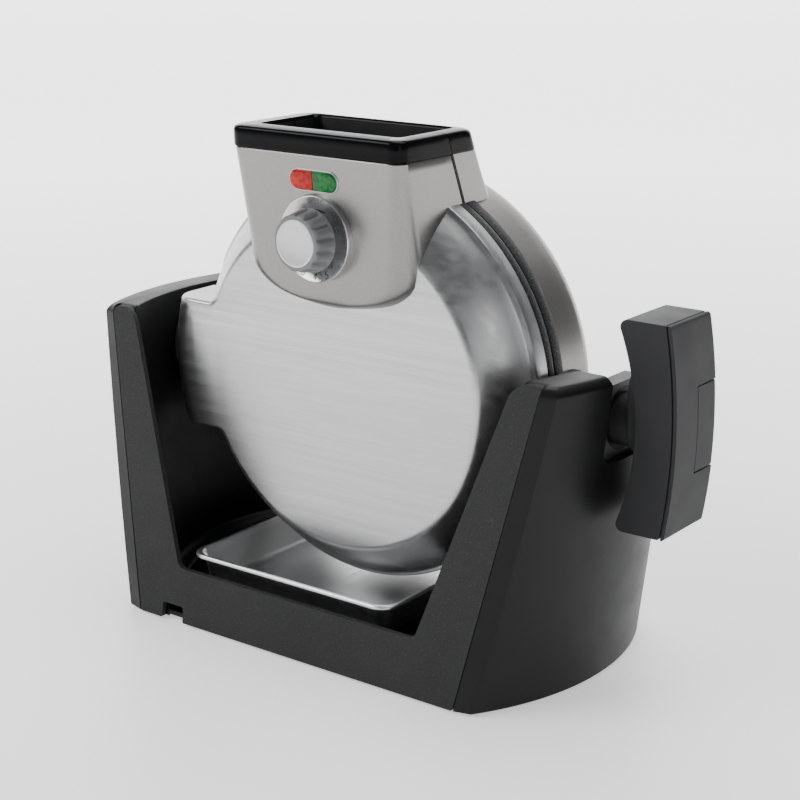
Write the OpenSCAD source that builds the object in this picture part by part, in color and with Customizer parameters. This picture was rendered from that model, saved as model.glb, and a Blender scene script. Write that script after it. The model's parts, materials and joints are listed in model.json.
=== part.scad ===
// Flip-over Belgian waffle maker, shown with its head standing upright.
// Origin: middle of the base, on the surface it stands on.
// +X points to the flip handle, +Y to the back, +Z up.

/* [Head] */
// Height of the flip axis above the table
axis_h = 149; // [148:1:154]
// Outer radius of the steel flange round the plates
flange_r = 118; // [117:0.5:119]
// Radius of the flat lid face
face_r = 96; // [90:1:100]
// Distance from the parting plane to the flat lid face
face_y = 43; // [41:0.5:44]
// Distance from the parting plane to the rear cover's back
back_y = 45; // [43:0.5:46]
// Thickness of each dark ring beside the parting plane
ring_t = 6.4; // [5:0.2:8]
// Wall of the pressed steel shells
shell_t = 1.5; // [1.2:0.1:1.8]

/* [Hinge side] */
// Distance from the axis centre to the left end of the hinge lug
lug_x = 128; // [126:0.5:129]
// Half height of the hinge lug
lug_h = 38; // [36:0.5:39]
// Radius of the rolled end of the lug
roll_r = 16; // [15:0.5:16]
// How far the lug's middle lies below the flip axis
lug_drop = 3.5; // [0:0.5:4]

/* [Control box] */
// Half width of the control box
box_w = 58; // [54:1:59]
// Height of the table to the top of the black bezel
top_z = 291; // [288:1:294]
// Height of the black bezel
bezel_h = 12; // [10:0.5:13]
// Radius of the knob
knob_r = 16.5; // [15:0.5:17]

/* [Waffle plates] */
// Radius of the cast plates
plate_r = 103; // [100:0.5:103]
// Pitch of the waffle pockets
pocket_pitch = 19; // [17:0.5:21]
// Width of one raised post
post_w = 12; // [11:0.5:13]

/* [Base] */
// Height of the uprights
base_h = 178; // [176:1:180]
// Radius of the base band at the table
base_r = 150.5; // [150:0.5:151]
// Distance from the centre to the front panel at the table
front_y = 88; // [87:0.5:89]
// How far the front panel leans back per millimetre of height
rake = 0.13; // [0.12:0.01:0.14]
// Height of the sill at the bottom of the U opening
sill_z = 33.5; // [32:0.5:34]
// Half width of the U opening at the sill
sill_w = 85; // [82:1:88]
// Half width of the U opening at the top
mouth_w = 132.5; // [131:0.5:134]
// Wall thickness of the base mouldings
wall = 3; // [2.8:0.1:3.2]

/* [Flip handle] */
// Outer radius of the handle bar about the axis centre
handle_r = 201; // [199:1:203]
// Thickness of the handle bar
handle_t = 24; // [22:1:25]
// Half width of the handle bar, front to back
handle_w = 22; // [20:1:23]
// Half height of the handle bar
handle_h = 56.5; // [54:0.5:57.5]
// Radius of the flip shaft
shaft_r = 14.2; // [13.5:0.1:14.5]

/* [Drip tray] */
// Half width of the drip tray
tray_w = 73; // [70:0.5:75]
// Half depth of the drip tray
tray_d = 77.5; // [74:0.5:78]
// Height of the tray's rim above the table
tray_z = 42.5; // [41:0.5:43]
// How far the drip tray sits to the left of the middle
tray_shift = 10; // [8:0.5:11]

/* [Hidden] */
$fn = 96;
fit = 0.06;
gap = 0.25;
big = 400;
deck_z = 22;
foot_h = 1.5;
flare = 0.11;
well_r = 127;
well_flare = 0.133;
panel_w = 113;
panel_lean = 0.205;
box_z = 200;
lip_z = 196;
panel_y0 = 50;
panel_y1 = 60;
housing_top = top_z - bezel_h;
panel_tilt = atan((panel_y1 - panel_y0) / (housing_top - box_z));
split_z = 246;
split_lean = 19 / (291 - 246);
grip_w = 47;
grip_front = -46;
grip_back = 2;
grip_z = 270.5;
dial_z = 234;
dial_r = 23.8;
lens_z = 265.5;
pin_x = -112;
pin_y = -27;
pin_r = 4;
ear_w = 7;
ear_z0 = 22;
ear_z1 = 31;
hub_x = 120.5;
block_x0 = 148.7;
block_x1 = 158.8;
trunnion_r = 12;
bush_wall = 4;
notch_w = 26;
notch_d = 19.5;
notch_r = 7;
rear_h = 150;
chamfer = 5;
handle_lift = 1.5;
handle_front = 19.5;
gland_z = 12.6;
trigger_h = 23;
trigger_y = 3;
screw_ring = 92;

// ---- helpers ----

// Moves a child to the flip axis.
module at_axis() { translate([0, 0, axis_h]) children(); }

// Moves a child to the middle of the hinge lug.
module at_lug() { translate([0, 0, axis_h - lug_drop]) children(); }

// Turns a profile (radius, distance in front of the parting plane) about the Y axis.
module front_lathe() { at_axis() rotate([90, 0, 0]) rotate_extrude() children(); }

// The same for a profile (radius, distance behind the parting plane).
module rear_lathe() { at_axis() rotate([-90, 0, 0]) rotate_extrude() children(); }

// Extrudes an XZ outline (relative to the axis) from y0 to y1.
module slab_y(y0, y1) {
    at_axis() translate([0, y1, 0]) rotate([90, 0, 0]) linear_extrude(y1 - y0) children();
}

// Extrudes a YZ outline, in the part's frame, over x0 to x1.
module slab_x(x0, x1) {
    translate([x0, 0, 0]) rotate([90, 0, 90]) linear_extrude(x1 - x0) children();
}

// A cylinder along X from x0 to x1 at height axis_h.
module rod_x(r, x0, x1) { at_axis() translate([x0, 0, 0]) rotate([0, 90, 0]) cylinder(r = r, h = x1 - x0); }

// A cylinder along Y from y0 to y1 at (x, z) relative to the axis.
module rod_y(r, x, z, y0, y1) {
    at_axis() translate([x, y1, z]) rotate([90, 0, 0]) cylinder(r = r, h = y1 - y0);
}

// Places a child on the sloping control panel: local +Z points out of the panel.
module on_panel(x, z) {
    translate([x, -panel_y0 - (z - box_z) * tan(panel_tilt), z])
        rotate([90 + panel_tilt, 0, 0]) children();
}

// The same for the dial, which stands upright: local +Z points to the front.
module on_dial() {
    translate([0, -panel_y0 - (dial_z - box_z) * tan(panel_tilt), dial_z]) rotate([90, 0, 0]) children();
}

// ---- base ----

// The tapered round band, cut flat and raked at front and back.
module base_form(inset = 0, z0 = foot_h, z1 = base_h) {
    c = z1 > base_h - 10 ? chamfer : 0;
    zc = z1 - c;
    intersection() {
        rotate_extrude() polygon([[0, z0], [base_r + flare * z0 - inset, z0],
            [base_r + flare * zc - inset, zc], [base_r + flare * zc - inset - c, z1 + 0.01], [0, z1 + 0.01]]);
        slab_x(-big / 2, big / 2) polygon([
            [-front_y + inset + rake * z0, z0], [front_y - inset - rake * z0, z0],
            [front_y - inset - rake * zc, zc], [front_y - inset - rake * zc - c, z1],
            [-front_y + inset + rake * zc + c, z1], [-front_y + inset + rake * zc, zc]]);
    }
}

// Room over the low rear half of the right upright.
module rear_step(grow = 0) {
    translate([100, -notch_w - grow, rear_h - grow]) cube([150, 300, 100]);
}

// The U opening through front and back.
module mouth() {
    slab_y(-big / 2, big / 2) translate([0, -axis_h]) polygon([
        [-sill_w, sill_z], [sill_w, sill_z],
        [mouth_w, base_h], [mouth_w + 1, base_h + 2], [-mouth_w - 1, base_h + 2], [-mouth_w, base_h]]);
}

module well_form(grow = 0, z0 = deck_z) {
    translate([0, 0, z0]) cylinder(r1 = well_r + grow + well_flare * (z0 - deck_z),
        r2 = well_r + grow + well_flare * (base_h + 1 - deck_z), h = base_h + 1 - z0);
}

// The raked slab that the front panel is cut from.
module panel_slab(grow = 0) {
    intersection() {
        slab_x(-big / 2, big / 2) polygon([
            [-front_y - 1, 0], [-front_y + wall + grow, 0],
            [-front_y + wall + grow + rake * (base_h + 1), base_h + 1],
            [-front_y - 1 + rake * (base_h + 1), base_h + 1]]);
        slab_y(-big / 2, big / 2) translate([0, -axis_h]) polygon([
            [-panel_w - grow, 0], [panel_w + grow, 0],
            [panel_w + grow + panel_lean * (base_h + 1), base_h + 1],
            [-panel_w - grow - panel_lean * (base_h + 1), base_h + 1]]);
    }
}

// Open-topped slot for the flip shaft, with a level floor and rounded corners.
module shaft_notch() {
    z0 = axis_h - notch_d;
    slab_x(block_x1 + 1, big / 2) {
        translate([-notch_w + notch_r, z0]) square([2 * notch_w - notch_r, base_h]);
        translate([-notch_w, z0 + notch_r]) square([2 * notch_w, base_h]);
        translate([-notch_w + notch_r, z0 + notch_r]) circle(r = notch_r);
    }
}

// The cord entry, square to the leaning back wall: local -Z points out.
module at_gland() {
    translate([0, front_y - rake * gland_z, gland_z]) rotate([90 + atan(rake), 0, 0]) children();
}

module base_shell() {
    color([0.07, 0.07, 0.075]) difference() {
        base_form();
        difference() {
            base_form(wall, 0, base_h - wall);
            rear_step(wall);
        }
        rear_step();
        translate([block_x0 - 0.2, -18.2, axis_h - 24.2]) cube([block_x1 - block_x0 + 0.4, 36.4, 60]);
        well_form(2 + gap, deck_z - 2 - gap);
        mouth();
        panel_slab(gap);
        shaft_notch();
        rod_x(shaft_r + bush_wall + 0.6, 120, 175);
        at_gland() cylinder(r = 6.6, h = 20, center = true);
    }
}

module front_panel() {
    color([0.2, 0.2, 0.21]) difference() {
        intersection() { base_form(); panel_slab(); }
        mouth();
        translate([-96, -front_y - 5, 0]) cube([16, 20, 11]);
    }
}

module well_liner() {
    color([0.06, 0.06, 0.065]) difference() {
        intersection() {
            well_form(2, deck_z - 2);
            base_form(wall + gap, 0, base_h);
        }
        well_form(0);
        mouth();
        rear_step(gap);
        rod_x(22, -big / 2, big / 2);
    }
}

module base_cover() {
    color([0.12, 0.12, 0.12]) difference() {
        base_form(wall + gap, 3, 5.5);
        for (p = screw_spots()) translate([p.x, p.y, 0]) cylinder(r = 2.2, h = 10);
        for (p = foot_spots()) translate([p.x, p.y, 0]) cylinder(r = 5, h = 10);
    }
}

function foot_spots() = [each [for (x = [-104, 104], y = [-62, 62]) [x, y]], [0, 0]];
function screw_spots() = [for (x = [-70, 70], y = [-70, 70]) [x, y]];

module rubber_feet() {
    color([0.1, 0.1, 0.1]) for (p = foot_spots()) translate([p.x, p.y, 0]) {
        cylinder(r = 10, h = 2.9);
        cylinder(r = 4.8, h = 7);
    }
}

module base_screws() {
    color([0.6, 0.6, 0.6]) for (p = screw_spots()) translate([p.x, p.y, 0]) {
        translate([0, 0, 1]) cylinder(r = 3.8, h = 1.9);
        translate([0, 0, 2.9]) cylinder(r = 2, h = 14);
    }
}

module bearing_block(side, bore) {
    difference() {
        translate([side > 0 ? block_x0 : -block_x1, -18, axis_h - 24])
            cube([block_x1 - block_x0, 36, 44]);
        rod_x(bore, side > 0 ? block_x0 - 1 : -block_x1 - 1, side > 0 ? block_x1 + 1 : -block_x0 + 1);
    }
}

module left_bearing_block() {
    color([0.35, 0.36, 0.38]) bearing_block(-1, trunnion_r + bush_wall + fit);
}

module right_bearing_block() {
    color([0.35, 0.36, 0.38]) bearing_block(1, shaft_r + bush_wall - 1 + fit);
}

module left_bush() {
    color([0.8, 0.65, 0.35]) difference() {
        rod_x(trunnion_r + bush_wall, -block_x1, -block_x0 + 1.5);
        rod_x(trunnion_r + fit, -block_x1 - 1, -block_x0 + 3);
    }
}

module right_bush() {
    color([0.8, 0.65, 0.35]) difference() {
        rod_x(shaft_r + bush_wall - 1, block_x0 - 1.5, block_x1);
        rod_x(shaft_r + fit, block_x0 - 3, block_x1 + 1);
    }
}

module cord_gland() {
    color([0.05, 0.05, 0.05]) at_gland() difference() {
        union() {
            translate([0, 0, -1.8]) cylinder(r = 9, h = 1.6);
            translate([0, 0, -1]) cylinder(r = 6.3, h = 6);
        }
        translate([0, 0, -5]) cylinder(r = 3.6, h = 20);
    }
}

module terminal_block() {
    color([0.85, 0.84, 0.78]) translate([-18, 50, 7]) difference() {
        cube([36, 16, 11]);
        for (i = [0 : 2]) translate([6 + 12 * i, 8, 3]) cylinder(r = 2.2, h = 10);
    }
}

// A rounded rectangle centred on the origin.
module round_rect(w, d, r) {
    for (s = [0, 1]) square([2 * (w - s * r), 2 * (d - (1 - s) * r)], center = true);
    for (x = [-1, 1], y = [-1, 1]) translate([x * (w - r), y * (d - r)]) circle(r = r);
}

module drip_tray() {
    rim_h = tray_z - deck_z - 0.1;
    color([0.75, 0.76, 0.77]) translate([-tray_shift, 0, deck_z + 0.1]) difference() {
        union() {
            linear_extrude(rim_h) round_rect(tray_w - 4, tray_d - 4, 8);
            translate([0, 0, rim_h - 3]) linear_extrude(3) round_rect(tray_w, tray_d, 12);
        }
        translate([0, 0, 1]) linear_extrude(rim_h) round_rect(tray_w - 5, tray_d - 5, 7);
        translate([0, 0, rim_h - 4]) difference() {
            linear_extrude(3) round_rect(tray_w - 0.8, tray_d - 0.8, 11.2);
            linear_extrude(3) round_rect(tray_w - 4, tray_d - 4, 8);
        }
    }
}

// ---- head: shells ----

// Outline of the lid's outside: (radius, distance in front of the parting plane).
function lid_outline(t) = [
    [0, face_y - t], [face_r - 2.5 - t * 0.6, face_y - t], [face_r - t * 0.9, face_y - 1.5 - t],
    [flange_r - 3.4 - t * 1.2, 19.4 - t * 0.2], [flange_r - t, 17.2 - t], [flange_r - t, 0], [0, 0]];

// Outline of the rear cover's outside: (radius, distance behind the parting plane).
function rear_outline(t) = [
    [0, back_y - t], [96 - t * 0.6, back_y - t], [104 - t * 0.8, back_y - 2 - t],
    [flange_r - 3 - t, 36 - t * 0.5], [flange_r - 1 - t, 31], [flange_r - 1 - t, 0], [0, 0]];

// Front half of the hinge lug, with its rolled left end.
module lug_front(t) {
    at_lug() translate([0, 0, -lug_h + t]) linear_extrude(2 * (lug_h - t)) {
        translate([pin_x, pin_y]) circle(r = roll_r - t);
        translate([pin_x, -face_y + t]) square([30, face_y - ring_t - gap - t + 1]);
        translate([pin_x - roll_r + t, pin_y]) square([roll_r, -pin_y - ring_t - gap + 1]);
    }
}

module lid_cutoff() { slab_y(-ring_t - gap, 20) square([big, big], center = true); }

module front_shell() {
    color([0.72, 0.72, 0.72]) difference() {
        union() {
            front_lathe() polygon(lid_outline(0));
            lug_front(0);
        }
        front_lathe() polygon(lid_outline(shell_t));
        lug_front(shell_t);
        lid_cutoff();
        // the side of the lug behind the pin stays open for the yoke
        at_lug() translate([-big / 2 + pin_x, pin_y, -lug_h + shell_t])
            cube([big / 2, 40, 2 * (lug_h - shell_t)]);
        // the lead-through under the control box
        translate([-38, -face_y - 1, 206]) cube([76, 12, 46]);
    }
}

module rear_lug(t) {
    at_lug() translate([0, 0, -lug_h + t]) linear_extrude(2 * (lug_h - t)) {
        translate([pin_x, back_y - roll_r - 2]) circle(r = roll_r - t);
        translate([pin_x - roll_r + t, gap - 1]) square([44, back_y - roll_r - 1]);
        translate([pin_x, 10]) square([30, back_y - 12 - t]);
    }
}

module rear_shell() {
    color([0.7, 0.7, 0.7]) difference() {
        union() {
            difference() {
                rear_lathe() polygon(rear_outline(0));
                slab_y(-20, ring_t + 2.4) square([big, big], center = true);
            }
            difference() {
                rear_lug(0);
                slab_y(-20, gap) square([big, big], center = true);
                rear_lathe() polygon([[0, -1], [flange_r + 0.2, -1], [flange_r + 0.2, ring_t + 2.5], [0, ring_t + 2.5]]);
            }
        }
        rear_lathe() polygon(rear_outline(shell_t));
        rear_lug(shell_t);
        for (a = [45 : 90 : 315]) rod_y(1.8, screw_ring * cos(a), screw_ring * sin(a), 0, back_y + 5);
    }
}

// Outline of a ring beside the parting plane, seen along Y.
module ring_outline() {
    difference() {
        circle(r = flange_r);
        circle(r = plate_r + 0.8);
        translate([-flange_r - 1, -lug_drop - lug_h + shell_t + 1]) square([flange_r - 92, 2 * (lug_h - shell_t - 1)]);
    }
}

module front_ring() { color([0.15, 0.15, 0.155]) slab_y(-ring_t, -gap) ring_outline(); }

module rear_ring() { color([0.15, 0.15, 0.155]) slab_y(gap, ring_t + 2) ring_outline(); }

// ---- head: waffle plates, elements, shields ----

module post_grid() {
    intersection() {
        circle(r = plate_r - 13);
        union() for (i = [-5 : 5], j = [-5 : 5]) if (i != 0 && j != 0)
            translate([(i - sign(i) * 0.35) * pocket_pitch, (j - sign(j) * 0.35) * pocket_pitch])
                square(post_w, center = true);
    }
}

// A cast plate built up from y = 0 backwards; the cooking side faces +Z locally.
module plate_form(t = 13) {
    difference() {
        cylinder(r = plate_r, h = t);
        translate([0, 0, t - 10]) cylinder(r = plate_r - 9, h = 11);
    }
    translate([0, 0, t - 10.1]) linear_extrude(8.6) post_grid();
    for (a = [0, 90]) rotate(a) translate([-plate_r + 8, -1.8, t - 10.1]) cube([2 * plate_r - 16, 3.6, 9.6]);
    for (a = [45 : 90 : 315]) rotate(a) translate([screw_ring - 8, 0, -9]) cylinder(r = 4, h = 9.5);
}

module front_plate() {
    color([0.12, 0.12, 0.12]) at_axis() translate([0, -13 - 0.4, 0]) rotate([-90, 0, 0]) plate_form();
}

module rear_plate() {
    color([0.12, 0.12, 0.12]) at_axis() translate([0, 13 + 0.4, 0]) rotate([90, 0, 0]) plate_form();
}

module element_form() {
    rotate(-70) rotate_extrude(angle = 320) translate([62, 0]) circle(r = 3.2);
    for (a = [-70, -110]) rotate(a) translate([62, 0, -2]) cylinder(r = 2, h = 12);
}

module front_element() {
    color([0.5, 0.48, 0.45]) at_axis() translate([0, -13.4 - 3.3, 0]) rotate([90, 0, 0]) mirror([0, 1, 0]) element_form();
}

module rear_element() {
    color([0.5, 0.48, 0.45]) at_axis() translate([0, 13.4 + 3.3, 0]) rotate([-90, 0, 0]) element_form();
}

module shield_form() {
    difference() {
        cylinder(r = 92, h = 9);
        translate([0, 0, -1]) cylinder(r = 91, h = 9);
        for (a = [-70, -110, 70, 110]) rotate(a) translate([62, 0, 5]) cylinder(r = 4, h = 10);
        for (a = [45 : 90 : 315]) rotate(a) translate([screw_ring - 8, 0, 0]) cylinder(r = 2.3, h = 20);
    }
}

module front_heat_shield() {
    color([0.78, 0.78, 0.8]) at_axis() translate([0, -22.5 + 8 - 0.1, 0]) rotate([90, 0, 0]) shield_form();
}

module rear_heat_shield() {
    color([0.78, 0.78, 0.8]) at_axis() translate([0, 22.5 - 8 + 0.1, 0]) rotate([-90, 0, 0]) shield_form();
}

// ---- head: hinge, trunnions, shaft ----

module hinge_yoke() {
    color([0.3, 0.3, 0.31]) at_lug() difference() {
        union() {
            for (s = [-1, 1]) translate([pin_x, 0, s * (ear_z0 + ear_z1) / 2]) {
                translate([0, pin_y, 0]) cylinder(r = ear_w, h = ear_z1 - ear_z0, center = true);
                translate([-ear_w, pin_y, -(ear_z1 - ear_z0) / 2]) cube([2 * ear_w, 36, ear_z1 - ear_z0]);
            }
            translate([pin_x - 14.2, 9, -34]) cube([-plate_r - 1.2 - pin_x + 14.2, 5, 68]);
        }
        translate([pin_x, pin_y, 0]) cylinder(r = pin_r + 0.02, h = 90, center = true);
    }
}

module hinge_pin() {
    color([0.75, 0.75, 0.76]) at_lug() translate([pin_x, pin_y, 0]) cylinder(r = pin_r, h = 70, center = true);
}

module hinge_leaf() {
    color([0.4, 0.4, 0.41]) at_lug() difference() {
        union() {
            translate([pin_x, pin_y, 0]) cylinder(r = 8, h = 2 * ear_z0 - 0.6, center = true);
            translate([pin_x - 3, -face_y + shell_t + 0.6, -ear_z0 + 0.3]) cube([6, 11.5, 2 * ear_z0 - 0.6]);
            translate([pin_x, -face_y + shell_t + 0.1, -ear_z0 + 0.3]) cube([22, 3, 2 * ear_z0 - 0.6]);
        }
        translate([pin_x, pin_y, 0]) cylinder(r = pin_r + fit, h = 90, center = true);
    }
}

module left_trunnion() {
    color([0.3, 0.3, 0.31]) {
        rod_x(30, -134, -129);
        rod_x(trunnion_r, -block_x1 + 0.5, -133.9);
        at_axis() translate([-129.1, gap + 1, -12]) cube([0.9, 24, 24]);
    }
}

module right_hub() {
    color([0.3, 0.3, 0.31]) difference() {
        union() {
            rod_x(18, hub_x, hub_x + 7);
            at_axis() translate([108, 10, -15]) cube([hub_x - 107.9, 10, 30]);
        }
        rear_lathe() polygon([[0, -1], [flange_r - 0.9, -1], [flange_r - 0.9, 31], [0, 31]]);
        rod_x(shaft_r + 0.02, hub_x - 1, hub_x + 9);
    }
}

module flip_shaft() {
    color([0.16, 0.16, 0.17]) difference() {
        rod_x(shaft_r, hub_x + 0.1, handle_r - handle_t + 6);
        rod_x(5, hub_x - 1, 150);
    }
}

module thermal_cutout() {
    color([0.82, 0.8, 0.72]) at_axis() translate([0, 24.5, -40]) rotate([-90, 0, 0]) {
        cylinder(r = 8, h = 9);
        translate([-14, -4, 0]) cube([28, 8, 1.5]);
    }
}

// An upright bar between two faces that bow outwards: each face is given by
// its x at the axis and the radius of its bow. It runs from y0 to y1, z0 to z1.
module bowed_bar(inner_x, inner_bow, outer_x, outer_bow, y0, y1, z0, z1) {
    slab_y(y0, y1) difference() {
        intersection() {
            translate([outer_x - outer_bow, 0]) circle(r = outer_bow);
            translate([120, z0]) square([100, z1 - z0]);
        }
        translate([inner_x - inner_bow, 0]) circle(r = inner_bow);
    }
}

// One layer of the grip, at the grip's full width and height.
module grip_bar(inner_x, inner_bow, outer_x, outer_bow) {
    bowed_bar(inner_x, inner_bow, outer_x, outer_bow, -handle_front, handle_w,
        handle_lift - handle_h, handle_lift + handle_h);
}

// The release key, or the room for it when grown by a clearance.
module release_bar(grow, deep, proud) {
    bowed_bar(handle_r - 12 - deep, 300, handle_r + proud, 300, trigger_y - grow,
        handle_w + proud, -trigger_h - grow, trigger_h + grow);
}

module trigger_pocket() { release_bar(0.4, 5, 2); }

module handle_inner() {
    r0 = handle_r - handle_t;
    color([0.25, 0.25, 0.26]) difference() {
        union() {
            grip_bar(r0, 140, r0 + 9, 200);
            // upright oval collar between the shaft and the bar
            for (z = [0, 19]) translate([0, 0, z]) rod_x(17, r0 - 6.8, r0 + 1);
            at_axis() translate([r0 - 6.8, -17, 0]) cube([7.8, 34, 19]);
        }
        rod_x(shaft_r + 0.02, 100, r0 + 6.1);
        trigger_pocket();
        for (s = [-1, 1]) rod_x_at(2.2, r0 - 20, r0 + 12, s * 40);
    }
}

// A cylinder along X at a height above the axis.
module rod_x_at(r, x0, x1, z) {
    translate([0, 0, z]) rod_x(r, x0, x1);
}

module handle_outer() {
    color([0.27, 0.27, 0.28]) difference() {
        grip_bar(handle_r - handle_t + 9.15, 200, handle_r, 300);
        trigger_pocket();
        for (s = [-1, 1]) rod_x_at(2.2, 150, handle_r - 9, s * 40);
    }
}

module handle_screws() {
    color([0.6, 0.6, 0.6]) for (s = [-1, 1]) rod_x_at(2, handle_r - handle_t - 5, handle_r - 10, s * 40);
}

module flip_trigger() {
    color([0.2, 0.2, 0.21]) release_bar(0, 0, -0.05);
}

// ---- control box ----

// The parting line of the box, at a given height.
function split_y(z) = -max(0, z - split_z) * split_lean;

module front_box_outline(t = 0) {
    polygon([[-face_y - t, lip_z + t], [-panel_y0 + t, box_z + t * 0.6], [-panel_y1 + t, housing_top - t],
        [split_y(housing_top) - gap - t, housing_top - t], [-gap - t, split_z - t * 0.4], [-gap - t, lip_z + t]]);
}

module rear_box_outline(t = 0) {
    polygon([[gap + t, 225 + t], [gap + t, split_z], [split_y(housing_top) + gap + t, housing_top - t],
        [12 - t, housing_top - t], [30 - t, 249 - t], [30 - t, 225 + t]]);
}

// Room for the grip recess, cut from everything above the head.
module grip_room(grow) {
    translate([-grip_w - grow, grip_front - grow, grip_z - grow])
        cube([2 * (grip_w + grow), grip_back - grip_front + 2 * grow, 60]);
}

module control_housing() {
    color([0.74, 0.73, 0.71]) difference() {
        slab_x(-box_w, box_w) front_box_outline();
        slab_x(-box_w + 2.5, box_w - 2.5) front_box_outline(2.5);
        front_lathe() polygon([for (p = lid_outline(0)) [p.x + (p.x > 0 ? 0.1 : 0), p.y + (p.y > 0 ? 0.1 : -1)]]);
        grip_room(1.8);
        on_dial() cylinder(r = 5.6, h = 30, center = true);
        on_panel(0, lens_z) translate([-16.6, -5.6, -8]) cube([33.2, 11.2, 16]);
    }
}

module rear_housing() {
    color([0.74, 0.73, 0.71]) difference() {
        slab_x(-box_w, box_w) rear_box_outline();
        slab_x(-box_w + 2.5, box_w - 2.5) rear_box_outline(2.5);
        rear_lathe() polygon([[0, -60], [flange_r + 2, -60], [flange_r + 2, 0.1], [flange_r + 0.1, 0.2],
            [flange_r + 0.1, 60], [0, 60]]);
        grip_room(1.8);
        latch_room();
    }
}

// The slot that the latch button moves in.
module latch_room() { translate([-13, -12, 262]) cube([26, 9, 18]); }

module bezel_block(front) {
    z0 = housing_top + 0.1;
    slab_x(-box_w - 0.6, box_w + 0.6) polygon(front
        ? [[-panel_y1 - 0.6, z0], [-panel_y1 - 1, top_z], [split_y(top_z) - gap, top_z], [split_y(z0) - gap, z0]]
        : [[split_y(z0) + gap, z0], [split_y(top_z) + gap, top_z], [7, top_z], [12.4, z0]]);
}

module grip_tub(front) {
    difference() {
        translate([-grip_w - 1.5, grip_front - 1.5, grip_z - 1.5])
            cube([2 * grip_w + 3, grip_back - grip_front + 3, housing_top + 1 - grip_z]);
        grip_room(0);
        slab_x(-big / 2, big / 2) polygon(front
            ? [[split_y(200) - gap, 200], [-gap, split_z], [split_y(300) - gap, 300], [200, 300], [200, 200]]
            : [[gap, 200], [gap, split_z], [split_y(300) + gap, 300], [-200, 300], [-200, 200]]);
    }
}

module front_bezel() {
    color([0.03, 0.03, 0.03]) {
        difference() { bezel_block(true); grip_room(0); }
        grip_tub(true);
    }
}

module rear_bezel() {
    color([0.03, 0.03, 0.03]) {
        difference() { bezel_block(false); grip_room(0); }
        difference() { grip_tub(false); latch_room(); }
    }
}

module lid_latch() {
    color([0.05, 0.05, 0.05]) translate([-12.6, -9.2, grip_z - 1.2]) cube([25.2, 5.8, 5.2]);
}

module dial_plate() {
    color([0.8, 0.8, 0.8]) difference() {
        on_dial() difference() {
            translate([0, 0, -4]) cylinder(r = dial_r, h = 10.9);
            translate([0, 0, 4.1]) cylinder(r1 = 18.9, r2 = dial_r - 0.8, h = 2.9);
            cylinder(r = 5.6, h = 30, center = true);
        }
        on_panel(0, dial_z) translate([-40, -40, -60]) cube([80, 80, 60.1]);
    }
}

module knob() {
    color([0.6, 0.6, 0.6]) on_dial() difference() {
        union() {
            translate([0, 0, 4.5]) cylinder(r1 = knob_r + 1, r2 = knob_r, h = 5.1);
            translate([0, 0, 9.5]) cylinder(r = knob_r - 1.4, h = 10.9);
            for (i = [0 : 13]) rotate(i * 360 / 14) translate([knob_r - 2.2, 0, 9.5])
                cylinder(r = 2.2, h = 10.5, $fn = 24);
        }
        translate([0, 0, 18.5]) cylinder(r = knob_r - 3, h = 5);
        translate([0, 0, -1]) cylinder(r = 3.05, h = 15.5);
    }
}

module knob_cap() {
    color([0.8, 0.8, 0.8]) on_dial() translate([0, 0, 18.6]) {
        cylinder(r = knob_r - 3.1, h = 1.9);
        translate([0, 0, 1.8]) cylinder(r1 = knob_r - 3.1, r2 = knob_r - 5, h = 1);
    }
}

module knob_shaft() {
    color([0.7, 0.7, 0.68]) on_dial() translate([0, 0, -9]) cylinder(r = 3, h = 23.4);
}

module thermostat() {
    color([0.8, 0.78, 0.7]) on_dial() difference() {
        union() {
            translate([-13, -13, -19]) cube([26, 26, 9]);
            translate([0, 0, -10.1]) cylinder(r = 5, h = 11);
        }
        translate([0, 0, -9.5]) cylinder(r = 3 + fit, h = 20);
    }
}

module lens_half(s) {
    on_panel(0, lens_z) translate([0, 0, -2]) intersection() {
        union() {
            translate([s * 10.2, 0, 0]) cylinder(r = 5.4, h = 3.6);
            translate([s > 0 ? 0.15 : -10.2, -5.4, 0]) cube([10.05, 10.8, 3.6]);
        }
        translate([s > 0 ? 0.15 : -20, -10, 0]) cube([19.85, 20, 10]);
    }
}

module red_lens() { color([0.85, 0.12, 0.05, 0.8]) lens_half(-1); }

module green_lens() { color([0.05, 0.55, 0.15, 0.8]) lens_half(1); }

module lens_bezel() {
    color([0.75, 0.74, 0.72]) on_panel(0, lens_z) difference() {
        union() {
            for (s = [-1, 1]) translate([s * 10.3, 0, 0.1]) cylinder(r = 6.9, h = 0.8);
            translate([-10.3, -6.9, 0.1]) cube([20.6, 13.8, 0.8]);
        }
        for (s = [-1, 1]) translate([s * 10.2, 0, -1]) cylinder(r = 5.5, h = 5);
        translate([-10.2, -5.5, -1]) cube([20.4, 11, 5]);
    }
}

module lamp_board() {
    color([0.1, 0.4, 0.2]) on_panel(0, lens_z) translate([-18, -7, -9]) cube([36, 14, 1.6]);
}

// ---- screws of the head ----

module lid_screws() {
    color([0.6, 0.6, 0.6]) for (a = [45 : 90 : 315])
        rod_y(2, (screw_ring - 8) * cos(a), (screw_ring - 8) * sin(a), -26, -22.7);
}

module rear_screws() {
    color([0.6, 0.6, 0.6]) for (a = [45 : 90 : 315]) {
        rod_y(3.4, screw_ring * cos(a), screw_ring * sin(a), back_y + 0.1, back_y + 1.9);
        rod_y(1.7, screw_ring * cos(a), screw_ring * sin(a), back_y - 12, back_y + 0.2);
    }
}

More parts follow.
